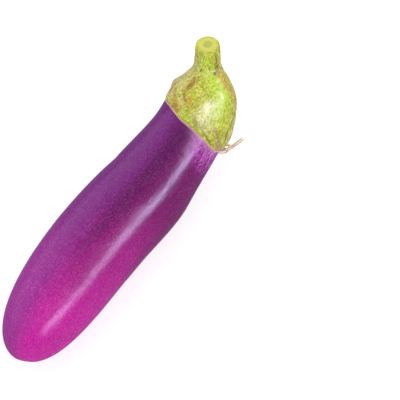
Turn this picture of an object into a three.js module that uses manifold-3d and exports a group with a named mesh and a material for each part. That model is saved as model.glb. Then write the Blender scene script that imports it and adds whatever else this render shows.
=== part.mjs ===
// A long purple eggplant, as picked, lying on its side with its neck and stem curving up.
// Two grown bodies: the purple fruit, and the green calyx in one with its stem.
// Millimetres, +Z up, +X from the blossom end to the stem. The fruit rests at z = 0 on a small flat spot,
// whose centre is the origin.
import * as THREE from "three";
import { mergeVertices } from "three/addons/utils/BufferGeometryUtils.js";
import Module from "manifold-3d";

// Centreline, from the blossom end to the cut end of the stem: two Bezier arcs that share a tangent
// where they meet.
const BLOSSOM_END = [-98.7, -2.1, 25.1];
const BODY_HANDLES = [[-3, 6.5, 30], [23, -3, 27]];
const NECK_START = [41, -2.5, 28];
const NECK_HANDLES = [[78, -1.5, 30.5], [100, -9, 34.5]];
const STEM_END = [120.8, 8.2, 80.1];

// Fruit: radii, and distances along the centreline from the blossom end.
const BELLY_RADIUS = 28.8;
const NECK_RADIUS = 22.7;
const BELLY_AT = 115;
const NECK_AT = 199;
const FRUIT_LENGTH = 223;
const BLOSSOM_CAP = { length: 159, power: 5.6 };
const TOP_CAP = { length: 36, power: 2.3 };
const OVAL = { share: 0.003, turn: -70 }; // the section is a little oval, turned so many degrees
const NECK_RIBS = { count: 5, share: 0.008, turn: 52, from: 120 }; // soft ribs that fade in to the neck
const BLOSSOM_SCAR = { depth: 1.3, width: 3.6, off: 6, turn: 110 }; // a dimple a little off the end

// Calyx and stem: [distance, radius] of the outer face, in one run up to the stem's cut end.
const OUTER_PROFILE = [
  [170, 25.6],
  [188, 25.2],
  [194, 24.8],
  [200, 23.7],
  [206, 22.1],
  [212, 20.0],
  [217, 16.8],
  [221, 14.1],
  [225, 11.0],
  [229, 8.9],
  [233, 8.3],
  [238, 7.9],
  [250, 7.2],
];
const FIT_GAP = 0.3; // between the calyx's inner face and the fruit
const EDGE = { wall: 0.75, taper: 4.5 }; // the calyx thins over this length to its edge
const CUT_SLANT = { angle: 15, fade: 8 }; // degrees off square, the upper side the shorter
const CUT_BEVEL = 1;
const PITH = { radius: 3.2, depth: 0.5, floorRadius: 2.2 };
const STEM_RIBS = { count: 5, height: 0.3, twistPerMm: 1, from: 222, fade: 8 };

// The calyx's edge: [degrees round the neck from its upper side towards -Y, distance], with a point at
// each sepal's tip.
const RIM = [
  [-180, 185],
  [-168, 190],
  [-148, 199],
  [-130, 192],
  [-115, 187],
  [-102, 193],
  [-86, 205],
  [-71, 200.5],
  [-58, 197],
  [-42, 196.5],
  [-24, 193.9],
  [-4, 189.5],
  [14, 187.2],
  [36, 183.9],
  [56, 181.3],
  [74, 180.4],
  [86, 182],
  [104, 187.5],
  [118, 192.5],
  [138, 199],
  [166, 190],
];

// The widest sepal laps over its neighbour. Its free edge: [share of the way from the stem's cut to the
// rim, degrees]. The grid's lines run along it, two of them close together, for a crisp step.
const LAPPED_EDGE = [
  [0, -39],
  [0.48, -39],
  [0.57, -35],
  [0.655, -22],
  [0.72, -6],
  [0.79, 10],
  [0.87, 24],
  [0.94, 44],
  [1, 68],
];
const LAP = {
  height: 0.9,
  sink: 0.5,
  sinkWidth: 40,
  halfStep: 1.2,
  farEdge: 60,
  farFade: 60,
  from: 0.3,
  full: 0.5,
};

// Midribs and the furrows between sepals, in degrees at the stem's foot. They lean round on their way to
// the edge.
const MIDRIBS = { angles: [44, -66, -128, 172], height: 0.7, halfWidth: 12 };
const FURROWS = { angles: [-150, 124], depth: 1.1, halfWidth: 9 };
const SEPAL_LEAN = { perMm: 0.7, from: 220 };
const RELIEF_TOP = { at: 226, fade: 14 };
const KNUCKLE = { at: 212, turn: -100, height: 1.5, halfLength: 4.5, halfWidth: 13 }; // a small knob

// How far sepal tips stand off the fruit: degrees, reach to either side in degrees, height.
const TIP_LIFTS = [
  { angle: 94, spread: 34, height: 0.7 },
  { angle: -120, spread: 18, height: 0.9 },
  { angle: 180, spread: 24, height: 0.7 },
];
const TIP_LIFT_LENGTH = 10;

const FRUIT_GRID = { around: 54, along: 46 };
const CALYX_GRID = { around: 78, along: 38, inner: 8, closing: 2 }; // rings close up to the rim
const MERGE_DISTANCE = 1e-3;
const TRIM_BLOCK = 400; // side of the block that trims the resting side

const degrees = (a) => THREE.MathUtils.degToRad(a);
const smooth = (x) => THREE.MathUtils.smoothstep(x, 0, 1);
const angleBetween = (a, b) => ((((a - b) % 360) + 540) % 360) - 180;
const swell = (x) => Math.exp(-x * x);

// --- Centreline --------------------------------------------------------------------------------------

const vector = (p) => new THREE.Vector3(...p);
const centreline = new THREE.CurvePath();
centreline.add(new THREE.CubicBezierCurve3(...[BLOSSOM_END, ...BODY_HANDLES, NECK_START].map(vector)));
centreline.add(new THREE.CubicBezierCurve3(...[NECK_START, ...NECK_HANDLES, STEM_END].map(vector)));
const CENTRELINE_LENGTH = centreline.getLength();
const UP = new THREE.Vector3(0, 0, 1);

// The section's frame at a distance along the centreline: its centre, the way along, the side (-Y) and
// the upper side.
function frameAt(distance) {
  const t = THREE.MathUtils.clamp(distance / CENTRELINE_LENGTH, 0, 1);
  const centre = centreline.getPoint(t);
  const along = centreline.getTangent(t);
  const side = new THREE.Vector3().crossVectors(along, UP).normalize();
  const upper = new THREE.Vector3().crossVectors(side, along);
  return { centre, along, side, upper };
}

// The point at a radius and an angle round the section, pushed on by some way along the centreline.
function pointAt(distance, angle, radius, push = 0) {
  const { centre, along, side, upper } = frameAt(distance);
  return centre
    .addScaledVector(upper, radius * Math.cos(angle))
    .addScaledVector(side, radius * Math.sin(angle))
    .addScaledVector(along, push);
}

// --- Fruit -------------------------------------------------------------------------------------------

// A cap's share of the full radius, so far in from its pole: 0 at the pole and 1 from the cap's length on.
function capShare(fromPole, { length, power }) {
  const left = THREE.MathUtils.clamp(1 - fromPole / length, 0, 1);
  return Math.sqrt(1 - left ** power);
}

function fruitRadius(distance, angle) {
  const down = THREE.MathUtils.clamp((distance - BELLY_AT) / (NECK_AT - BELLY_AT), 0, 1);
  const body = NECK_RADIUS + ((BELLY_RADIUS - NECK_RADIUS) * (1 + Math.cos(Math.PI * down))) / 2;
  const caps = capShare(distance, BLOSSOM_CAP) * capShare(FRUIT_LENGTH - distance, TOP_CAP);
  const oval = OVAL.share * Math.cos(2 * (angle - degrees(OVAL.turn)));
  const grown = smooth((distance - NECK_RIBS.from) / (NECK_AT - NECK_RIBS.from));
  const around = NECK_RIBS.count * (angle - degrees(NECK_RIBS.turn));
  const ribs = NECK_RIBS.share * grown * Math.cos(around);
  return body * caps * (1 + oval + ribs);
}

function fruitPoint(u, angle) {
  const distance = (FRUIT_LENGTH * (1 - Math.cos(Math.PI * u))) / 2;
  const radius = fruitRadius(distance, angle);
  const scar = degrees(BLOSSOM_SCAR.turn);
  const across = radius * Math.cos(angle) - BLOSSOM_SCAR.off * Math.cos(scar);
  const aside = radius * Math.sin(angle) - BLOSSOM_SCAR.off * Math.sin(scar);
  const dimple = BLOSSOM_SCAR.depth * swell(Math.hypot(across, aside) / BLOSSOM_SCAR.width);
  return pointAt(distance, angle, radius, distance < BELLY_AT ? dimple : 0);
}

// --- Calyx and stem ----------------------------------------------------------------------------------

// A smooth curve through [position, value] pairs.
function curveThrough(pairs) {
  const interpolant = new THREE.CubicInterpolant(
    pairs.map((p) => p[0]),
    pairs.map((p) => p[1]),
    1,
  );
  const [first, last] = [pairs[0][0], pairs[pairs.length - 1][0]];
  return (x) => interpolant.evaluate(THREE.MathUtils.clamp(x, first, last))[0];
}

const outerProfile = curveThrough(OUTER_PROFILE);
const lappedEdge = curveThrough(LAPPED_EDGE);
const rimCurve = curveThrough([-360, 0, 360].flatMap((turn) => RIM.map(([a, d]) => [a + turn, d])));
const sum = (values) => values.reduce((a, b) => a + b, 0);

function rimAt(turn) {
  return rimCurve(angleBetween(turn, 0));
}

function tipLift(turn, fromRim) {
  const lifts = TIP_LIFTS.map((t) => t.height * swell(angleBetween(turn, t.angle) / t.spread));
  return sum(lifts) * (1 - smooth(fromRim / TIP_LIFT_LENGTH));
}

// The lap's height at a turn past the free edge: up on the widest sepal, down on the one under it.
function lapHeight(share, pastEdge) {
  const grown = smooth((share - LAP.from) / (LAP.full - LAP.from));
  const farSide = 1 - smooth((lappedEdge(share) + pastEdge - LAP.farEdge) / LAP.farFade);
  const sunk = -LAP.sink * (1 - smooth(-pastEdge / LAP.sinkWidth));
  return grown * (pastEdge > 0 ? LAP.height * farSide : sunk);
}

function sepalRelief(distance, turn) {
  const atFoot = turn - SEPAL_LEAN.perMm * (SEPAL_LEAN.from - distance);
  const ridge = (a, halfWidth) => swell(angleBetween(atFoot, a) / halfWidth);
  const midribs = sum(MIDRIBS.angles.map((a) => ridge(a, MIDRIBS.halfWidth)));
  const furrows = sum(FURROWS.angles.map((a) => ridge(a, FURROWS.halfWidth)));
  const onDome = smooth((RELIEF_TOP.at - distance) / RELIEF_TOP.fade);
  return onDome * (MIDRIBS.height * midribs - FURROWS.depth * furrows);
}

function knuckle(distance, turn) {
  const off = Math.hypot(
    (distance - KNUCKLE.at) / KNUCKLE.halfLength,
    angleBetween(turn, KNUCKLE.turn) / KNUCKLE.halfWidth,
  );
  return KNUCKLE.height * swell(off);
}

function stemRelief(distance, turn) {
  const fromCut = CENTRELINE_LENGTH - distance;
  const ribs = Math.cos(degrees(STEM_RIBS.count * (turn + STEM_RIBS.twistPerMm * fromCut)));
  return STEM_RIBS.height * ribs * smooth((distance - STEM_RIBS.from) / STEM_RIBS.fade);
}

// The outer face's radius: a thin edge close to the fruit that swells into the sepals' relief.
function calyxRadius(distance, turn, lap) {
  const fromRim = distance - rimAt(turn);
  const edge = fruitRadius(distance, degrees(turn)) + FIT_GAP + EDGE.wall;
  const relief = sepalRelief(distance, turn) + knuckle(distance, turn) + stemRelief(distance, turn);
  const full = outerProfile(distance) + relief + lap;
  const grown = Math.max(full, edge);
  return edge + (grown - edge) * smooth(fromRim / EDGE.taper) + tipLift(turn, fromRim);
}

// How far a point near the cut is pushed along the stem by the cut's slant.
function slantPush(radius, angle, fromCut) {
  const near = 1 - smooth(fromCut / CUT_SLANT.fade);
  return -Math.tan(degrees(CUT_SLANT.angle)) * radius * Math.cos(angle) * near;
}

// The outer face, from the stem's cut edge (0) to the rim (1), at a turn past the lapped edge.
function outerPoint(share, pastEdge) {
  const turn = angleBetween(pastEdge + lappedEdge(share), 0);
  const fromCut = CUT_BEVEL + (CENTRELINE_LENGTH - CUT_BEVEL - rimAt(turn)) * share;
  const distance = CENTRELINE_LENGTH - fromCut;
  const radius = calyxRadius(distance, turn, lapHeight(share, angleBetween(pastEdge, 0)));
  const angle = degrees(turn);
  return pointAt(distance, angle, radius, slantPush(radius, angle, fromCut));
}

// The inner face, from the rim (0) to the pole over the fruit's top (1).
function innerPoint(share, pastEdge) {
  const turn = angleBetween(pastEdge + lappedEdge(1), 0);
  const rim = rimAt(turn);
  const pole = FRUIT_LENGTH + FIT_GAP;
  const distance = rim + (pole - rim) * Math.sin((Math.PI / 2) * share);
  const fitted = share < 1 ? fruitRadius(distance - FIT_GAP, degrees(turn)) + FIT_GAP : 0;
  return pointAt(distance, degrees(turn), fitted + tipLift(turn, distance - rim));
}

// The cut face: [radius, how far below the cut] of its rings, from the pith's centre to the bevel.
function cutRings() {
  const edge = outerProfile(CENTRELINE_LENGTH);
  return [
    [0, PITH.depth],
    [PITH.floorRadius, PITH.depth],
    [PITH.radius, 0],
    [edge - CUT_BEVEL, 0],
  ];
}

// --- Solids ------------------------------------------------------------------------------------------

// A closed surface from rings of points round the centreline, the first and last of them poles. Each
// four-sided face is split along its shorter diagonal.
function closedGeometry(rings, around) {
  const points = rings.flat();
  const positions = points.flatMap((p) => p.toArray());
  const faces = [];
  for (let i = 0; i + 1 < rings.length; i++) {
    for (let j = 0; j < around; j++) {
      const a = i * around + j;
      const b = i * around + ((j + 1) % around);
      const [c, d] = [a + around, b + around];
      const aToD = points[a].distanceTo(points[d]) < points[b].distanceTo(points[c]);
      faces.push(...(aToD ? [a, b, d, a, d, c] : [a, b, c, b, d, c]));
    }
  }
  const geometry = new THREE.BufferGeometry();
  geometry.setAttribute("position", new THREE.Float32BufferAttribute(positions, 3));
  geometry.setIndex(faces);
  return mergeVertices(geometry, MERGE_DISTANCE);
}

const steps = (n) => Array.from({ length: n + 1 }, (_, i) => i / n);

function fruitGeometry() {
  const { around, along } = FRUIT_GRID;
  const angles = steps(around).slice(0, around).map((share) => 2 * Math.PI * share);
  const rings = steps(along).map((u) => angles.map((a) => fruitPoint(u, a)));
  return closedGeometry(rings, around);
}

function calyxGeometry() {
  const { around, along, inner, closing } = CALYX_GRID;
  const turns = steps(around - 1).map((share) => LAP.halfStep + (360 - 2 * LAP.halfStep) * share);
  const cutFace = cutRings().map(([radius, below]) =>
    turns.map((pastEdge) => {
      const angle = degrees(pastEdge + lappedEdge(0));
      return pointAt(CENTRELINE_LENGTH, angle, radius, slantPush(radius, angle, 0) - below);
    }),
  );
  const shares = steps(along).map((share) => 1 - (1 - share) ** closing);
  const outerFace = shares.map((share) => turns.map((turn) => outerPoint(share, turn)));
  const innerFace = steps(inner).map((share) => turns.map((turn) => innerPoint(share, turn)));
  return closedGeometry([...cutFace, ...outerFace, ...innerFace].reverse(), around);
}

const wasm = await Module();
wasm.setup();

function solidOf(geometry) {
  return new wasm.Manifold(
    new wasm.Mesh({
      numProp: 3,
      vertProperties: new Float32Array(geometry.attributes.position.array),
      triVerts: new Uint32Array(geometry.index.array),
    }),
  );
}

function geometryOf(solid) {
  const mesh = solid.getMesh();
  const geometry = new THREE.BufferGeometry();
  geometry.setAttribute("position", new THREE.Float32BufferAttribute(mesh.vertProperties, 3));
  geometry.setIndex(new THREE.Uint32BufferAttribute(mesh.triVerts, 1));
  geometry.computeVertexNormals();
  return geometry;
}

// The fruit less all that would be below the surface it lies on, which leaves the flat spot.
function restingFruit() {
  const block = new THREE.BoxGeometry(TRIM_BLOCK, TRIM_BLOCK, TRIM_BLOCK);
  block.translate(0, 0, -TRIM_BLOCK / 2);
  block.deleteAttribute("normal");
  block.deleteAttribute("uv");
  return geometryOf(solidOf(fruitGeometry()).subtract(solidOf(mergeVertices(block))));
}

const skin = new THREE.MeshStandardMaterial({ color: 0x8e1f80, roughness: 0.28, metalness: 0 });
const green = new THREE.MeshStandardMaterial({ color: 0xa9b548, roughness: 0.6, metalness: 0 });

function named(name, geometry, material) {
  const mesh = new THREE.Mesh(geometry, material);
  mesh.name = name;
  return mesh;
}

const eggplant = new THREE.Group();
eggplant.add(named("fruit", restingFruit(), skin));
eggplant.add(named("calyx_and_stem", geometryOf(solidOf(calyxGeometry())), green));

export default eggplant;
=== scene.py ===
"""A long purple eggplant lying on its side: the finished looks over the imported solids.

The fruit, the calyx in one with its stem, the stem's short hairs and the dry wisps at one sepal's tip.
Sizes in the plant's classes are millimetres and degrees, those in the studio's are metres and degrees,
and meshes are metres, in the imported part's own frame. A place on the plant is a distance along its
centreline from the blossom end and a turn round it, 0 on its upper side and 90 towards -Y.
"""

import logging
import math
from collections.abc import Callable
from dataclasses import dataclass, field, fields
from enum import Enum
from functools import cache, cached_property
from types import SimpleNamespace
from typing import NamedTuple

import bpy
import numpy as np
from mathutils import Matrix, Vector, noise


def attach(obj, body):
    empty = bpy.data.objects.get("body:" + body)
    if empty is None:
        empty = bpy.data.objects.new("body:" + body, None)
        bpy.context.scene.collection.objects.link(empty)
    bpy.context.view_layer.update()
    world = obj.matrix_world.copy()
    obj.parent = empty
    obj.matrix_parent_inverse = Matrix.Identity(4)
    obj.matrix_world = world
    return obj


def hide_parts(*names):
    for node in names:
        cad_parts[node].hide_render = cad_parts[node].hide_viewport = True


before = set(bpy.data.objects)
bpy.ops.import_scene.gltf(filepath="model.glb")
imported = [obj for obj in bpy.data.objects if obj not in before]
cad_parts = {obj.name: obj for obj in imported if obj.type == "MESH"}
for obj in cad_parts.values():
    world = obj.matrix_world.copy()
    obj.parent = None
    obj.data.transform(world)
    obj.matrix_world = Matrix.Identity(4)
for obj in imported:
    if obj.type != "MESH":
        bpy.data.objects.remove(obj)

log = logging.getLogger("eggplant")

MM = 0.001
Triple = tuple[float, float, float]
Colour = tuple[float, float, float, float]
Pairs = tuple[tuple[float, float], ...]
Number = "np.ndarray | float | Term"  # numpy's cos, sqrt and exp call a Term's own
WORLD_UP: Triple = (0.0, 0.0, 1.0)
LOWEST: Triple = (-10.0, -10.0, 0.0)  # keeps the fruit on the ground, and reaches past it all round
SEAM = 1e-6


class Place(Enum):
    """What a piece's surface stores for its finish, and the attribute it is stored under."""

    STRAIGHT = "straight"  # the point as if the centreline were straight, in millimetres
    FROM_RIM = "from_rim"  # distance past the calyx's edge towards the stem, in millimetres
    ALONG = "along"  # distance along the centreline, in millimetres
    WEATHERED = "weathered"
    TAN = "tan"
    AMBER = "amber"
    RUSSET = "russet"
    FRESH = "fresh"
    MAUVE = "mauve"
    # dark pitting, and painted shade along the creases
    PIT = "pit"
    CUT = "cut"
    PITH = "pith"
    HAIRY = "hairy"


# --- Arithmetic -------------------------------------------------------------------------------------


def held(x: Number) -> Number:
    """x held between 0 and 1."""
    return x.share() if isinstance(x, Term) else np.clip(x, 0.0, 1.0)


def smooth(x: Number) -> Number:
    """A step that eases from 0 to 1 as x goes from 0 to 1."""
    x = held(x)
    return x * x * (3.0 - 2.0 * x)


def swell(x: Number) -> Number:
    """A rounded bump of height 1 at x = 0 that has died away by x = 2."""
    return np.exp(x * x * -1.0)


def angle_between(a: np.ndarray | float, b: float) -> np.ndarray:
    """How far angle a is past angle b, in degrees from -180 to 180."""
    return np.mod(np.asarray(a) - b + 180, 360) - 180


def curve_through(x: np.ndarray, pairs: Pairs) -> np.ndarray:
    """A smooth curve through points.

    Args:
        x: Where to read the curve, held to its first and last point.
        pairs: Its points as (position, value).

    Returns:
        The curve's values at x.
    """
    at, value = np.array(pairs, float).T
    slopes = np.diff(value) / np.diff(at)
    knots = np.concatenate([slopes[:1], (slopes[1:] + slopes[:-1]) / 2, slopes[-1:]])
    x = np.clip(x, at[0], at[-1])
    i = np.clip(np.searchsorted(at, x, side="right") - 1, 0, len(at) - 2)
    step = at[i + 1] - at[i]
    p = (x - at[i]) / step
    q = 1 - p
    from_left = (1 + 2 * p) * q * q * value[i] + p * q * q * step * knots[i]
    from_right = p * p * (1 + 2 * q) * value[i + 1] - p * p * q * step * knots[i + 1]
    return from_left + from_right


def ripple(points: np.ndarray, size: float, seed: int) -> np.ndarray:
    """Smooth random unevenness between about -1 and 1.

    Args:
        points: Places, with x, y and z along the last axis.
        size: How far apart the bumps are, in the points' unit.
        seed: Which of many patterns.

    Returns:
        One value for each place.
    """
    offset = Vector((17.3 * seed, 5.1 * seed, 9.7 * seed))
    flat = points.reshape(-1, 3) / size
    values = [noise.noise(Vector(p) + offset) for p in flat]
    return np.array(values).reshape(points.shape[:-1])


def places_round(radius: np.ndarray, turn: np.ndarray, distance: np.ndarray) -> np.ndarray:
    """Points as if the centreline were straight.

    Args:
        radius: How far out they are.
        turn: Degrees round.
        distance: How far along.

    Returns:
        The points, with up, aside and along in a last axis.
    """
    angle = np.radians(turn)
    return np.stack([radius * np.cos(angle), radius * np.sin(angle), distance], -1)


# --- Node trees -------------------------------------------------------------------------------------


def maths(operation: str, swapped: bool = False) -> Callable[..., "Term"]:
    """Writes a method of Term that adds one Math node.

    Args:
        operation: The node's operation.
        swapped: Whether the Term comes after the other value.

    Returns:
        The method.
    """

    def made(term: "Term", *others: "Term | float") -> "Term":
        """The outcome of the node.

        Args:
            term: The Term whose method this is.
            others: The other numbers that go in, in order.

        Returns:
            Its result.
        """
        node = term.tree.nodes.new("ShaderNodeMath")
        node.operation = operation
        for place, value in zip(node.inputs, (*others, term) if swapped else (term, *others)):
            if isinstance(value, Term):
                term.tree.links.new(value.socket, place)
            else:
                place.default_value = value
        return Term(term.tree, node.outputs[0])

    return made


class Term:
    """A number in a node tree, with arithmetic on it written as Math nodes."""

    __add__ = __radd__ = maths("ADD")
    __mul__ = __rmul__ = maths("MULTIPLY")
    __sub__ = maths("SUBTRACT")
    __rsub__ = maths("SUBTRACT", swapped=True)
    __truediv__ = maths("DIVIDE")
    __pow__ = maths("POWER")
    below, above, less_than = maths("MINIMUM"), maths("MAXIMUM"), maths("LESS_THAN")
    sqrt, exp = maths("SQRT"), maths("EXPONENT")
    cos, sin = maths("COSINE"), maths("SINE")

    def __init__(self, tree: bpy.types.NodeTree, socket: bpy.types.NodeSocket) -> None:
        """Takes a number's output socket in a tree."""
        self.tree = tree
        self.socket = socket

    def share(self) -> "Term":
        """This, held between 0 and 1."""
        return self.below(1.0).above(0.0)

    def smooth(self) -> "Term":
        """A step that eases from 0 to 1 as this goes from 0 to 1."""
        return smooth(self)

    def swell(self) -> "Term":
        """A rounded bump of height 1 where this is 0."""
        return swell(self)


class Sketch:
    """A node tree being written, with short ways to add what this object's trees use."""

    def __init__(self, tree: bpy.types.NodeTree) -> None:
        """Starts on an empty tree."""
        self.tree = tree

    def node(self, kind: str, **inputs: object) -> bpy.types.Node:
        """A new node.

        Args:
            kind: The node's type name.
            inputs: Sockets, Terms or plain values for its inputs, by name with _ for a space.

        Returns:
            The node.
        """
        node = self.tree.nodes.new(kind)
        self.fill(node, **inputs)
        return node

    def fill(self, node: bpy.types.Node, **inputs: object) -> None:
        """Feeds some of a node's inputs.

        Args:
            node: The node.
            inputs: Sockets, Terms or plain values, by the input's name with _ for a space.
        """
        for name, value in inputs.items():
            self.feed(node.inputs[name.replace("_", " ")], value)

    def give(self, value: object) -> None:
        """Sends a socket or a Term out of the tree, through its one output."""
        self.feed(self.tree.nodes.new("NodeGroupOutput").inputs[0], value)

    def feed(self, place: bpy.types.NodeSocket, value: object) -> None:
        """Gives an input socket a value, or links it to a socket or a Term.

        Args:
            place: The input.
            value: What it gets.
        """
        if isinstance(value, Term):
            self.tree.links.new(value.socket, place)
        elif isinstance(value, bpy.types.NodeSocket):
            self.tree.links.new(value, place)
        else:
            place.default_value = value

    def term(self, socket: bpy.types.NodeSocket) -> Term:
        """A socket's number, ready for arithmetic."""
        return Term(self.tree, socket)

    def vector(self, operation: str, a: object, b: object) -> bpy.types.NodeSocket:
        """The outcome of one Vector Math node.

        Args:
            operation: The node's operation.
            a: Its first input.
            b: Its second input, or for SCALE the factor.

        Returns:
            Its vector output.
        """
        node = self.tree.nodes.new("ShaderNodeVectorMath")
        node.operation = operation
        self.feed(node.inputs[0], a)
        if b is not None:
            self.feed(node.inputs["Scale"] if operation == "SCALE" else node.inputs[1], b)
        return node.outputs["Vector"]

    def number_noise(self, at: object, scale: float, detail: float, rough: float = 0.5) -> Term:
        """Noise at places, from about 0 to 1.

        Args:
            at: The socket of the places.
            scale: How many bumps a unit.
            detail: How many finer layers.
            rough: How strong the finer layers are.

        Returns:
            The noise.
        """
        made = self.node("ShaderNodeTexNoise", Vector=at, Scale=scale, Detail=detail, Roughness=rough)
        return self.term(made.outputs[0])

    def mixed(self, share: Term, a: object, b: object) -> bpy.types.NodeSocket:
        """Colour a turning to colour b.

        Args:
            share: How much of b.
            a: A colour or a colour's socket.
            b: A colour or a colour's socket.

        Returns:
            The mixed colour.
        """
        node = self.tree.nodes.new("ShaderNodeMix")
        node.data_type = "RGBA"
        colours = [s for s in node.inputs if s.type == "RGBA"]
        self.feed(node.inputs[0], share)
        self.feed(colours[0], a)
        self.feed(colours[1], b)
        return next(s for s in node.outputs if s.type == "RGBA")

    def stored(self, place: Place) -> bpy.types.Node:
        """The node that reads what a surface stores.

        Args:
            place: Which of the stored places or numbers.

        Returns:
            The node.
        """
        node = self.tree.nodes.new("ShaderNodeAttribute")
        node.attribute_name = place.value
        return node

    def stored_number(self, place: Place) -> Term:
        """A number that a surface stores."""
        return self.term(self.stored(place).outputs["Fac"])

    def socket(self, name: str, kind: str, start: object = None, out: bool = False) -> str:
        """A new named input or output of the tree.

        Args:
            name: Its name.
            kind: Float, Int, Vector, Color, Geometry or Material.
            start: Its default value.
            out: Whether it is an output.

        Returns:
            Its identifier.
        """
        made = self.tree.interface.new_socket(
            name=name, in_out="OUTPUT" if out else "INPUT", socket_type="NodeSocket" + kind
        )
        if start is not None:
            made.default_value = start
        return made.identifier


class Growth(Sketch):
    """A geometry tree being written: named inputs, and an end that dresses what it has grown."""

    def __init__(self, name: str, material: bpy.types.Material, sizes: dict[str, float]) -> None:
        """Starts a tree with a geometry, its sizes and a material as inputs.

        Args:
            name: The tree's name.
            material: What its outcome is dressed in.
            sizes: Its numbers by name, with _ for a space; a whole number is a count or a seed.
        """
        super().__init__(bpy.data.node_groups.new(name, "GeometryNodeTree"))
        self.socket("Geometry", "Geometry")
        self.values: dict[str, object] = {}
        titles = {size: size.replace("_", " ").title() for size in sizes}
        for size, value in sizes.items():
            kind = "Int" if isinstance(value, int) else "Float"
            self.values[self.socket(titles[size], kind, value)] = value
        self.values[self.socket("Material", "Material")] = material
        self.socket("Geometry", "Geometry", out=True)
        self.given = self.tree.nodes.new("NodeGroupInput").outputs
        self.size = SimpleNamespace(**{size: self.term(self.given[titles[size]]) for size in sizes})

    def dress(self, geometry: bpy.types.NodeSocket) -> None:
        """Ends the tree: makes instances real, sets the material and gives the geometry out.

        Args:
            geometry: What has grown.
        """
        whole = self.node("GeometryNodeRealizeInstances", Geometry=geometry).outputs[0]
        dressed = self.node("GeometryNodeSetMaterial", Geometry=whole, Material=self.given["Material"])
        self.give(dressed.outputs[0])

    def mesh(self, name: str, base: bpy.types.Mesh) -> bpy.types.Mesh:
        """The plain mesh that the tree makes out of a base mesh.

        Args:
            name: The new mesh's name.
            base: What goes into the tree.

        Returns:
            The mesh, with the tree's attributes and material.
        """
        maker = bpy.data.objects.new(name + "_maker", base)
        bpy.context.scene.collection.objects.link(maker)
        modifier = maker.modifiers.new("grow", "NODES")
        modifier.node_group = self.tree
        for identifier, value in self.values.items():
            modifier[identifier] = value
        bpy.context.view_layer.update()
        graph = bpy.context.evaluated_depsgraph_get()
        mesh = bpy.data.meshes.new_from_object(maker.evaluated_get(graph), depsgraph=graph)
        mesh.name = name
        maker.modifiers.clear()
        bpy.data.objects.remove(maker)
        return mesh


class SkinGroup(Sketch):
    """A shader group being written, which takes places and a few sizes and gives one number."""

    def __init__(self, name: str, output: str, sizes: dict[str, float]) -> None:
        """Starts a group.

        Args:
            name: The group's name.
            output: Its output's name.
            sizes: Its numbers and what they start at, by name with _ for a space.
        """
        super().__init__(bpy.data.node_groups.new(name, "ShaderNodeTree"))
        titles = {size: size.replace("_", " ").title() for size in sizes}
        self.socket("Place", "Vector")
        for size, start in sizes.items():
            self.socket(titles[size], "Float", start)
        self.socket(output, "Float", out=True)
        given = self.tree.nodes.new("NodeGroupInput").outputs
        self.place = given["Place"]
        self.size = SimpleNamespace(**{size: self.term(given[titles[size]]) for size in sizes})


@cache
def mottle_group() -> bpy.types.NodeTree:
    """Soft blotches drawn out along the fruit or stem, the same group for every skin.

    Returns:
        The group, with the blotches' size, how drawn out they are and their contrast as inputs.
    """
    group = SkinGroup("drawn_out_mottle", "Tone", {"blotch": 10.0, "drawn_out": 3.0, "contrast": 1.0})
    long = group.node("ShaderNodeCombineXYZ", X=1.0, Y=1.0, Z=group.size.drawn_out ** -1.0)
    drawn = group.vector("MULTIPLY", group.place, long.outputs[0])
    scaled = group.vector("SCALE", drawn, group.size.blotch ** -1.0)
    tone = group.number_noise(scaled, 1.0, 4.0, 0.6)
    group.give(((tone - 0.5) * (group.size.contrast * 2.0) + 0.5).share())
    return group.tree


@cache
def speckle_group() -> bpy.types.NodeTree:
    """Small round specks scattered over a surface, the same group for every skin.

    Returns:
        The group, with the specks' spacing, their radius and how many cells have one as inputs.
    """
    group = SkinGroup("scattered_specks", "Specks", {"spacing": 4.0, "radius": 0.3, "share": 0.5})
    size = group.size
    scaled = group.vector("SCALE", group.place, size.spacing ** -1.0)
    cells = group.node("ShaderNodeTexVoronoi", Vector=scaled, Scale=1.0)
    apart = group.term(cells.outputs["Distance"]) * size.spacing
    pick = group.node("ShaderNodeSeparateColor", Color=cells.outputs["Color"])
    chosen = group.term(pick.outputs["Red"]).less_than(size.share)
    radius = size.radius * (0.5 + group.term(pick.outputs["Green"]))
    group.give((1.5 - apart / radius).smooth() * chosen)
    return group.tree


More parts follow.
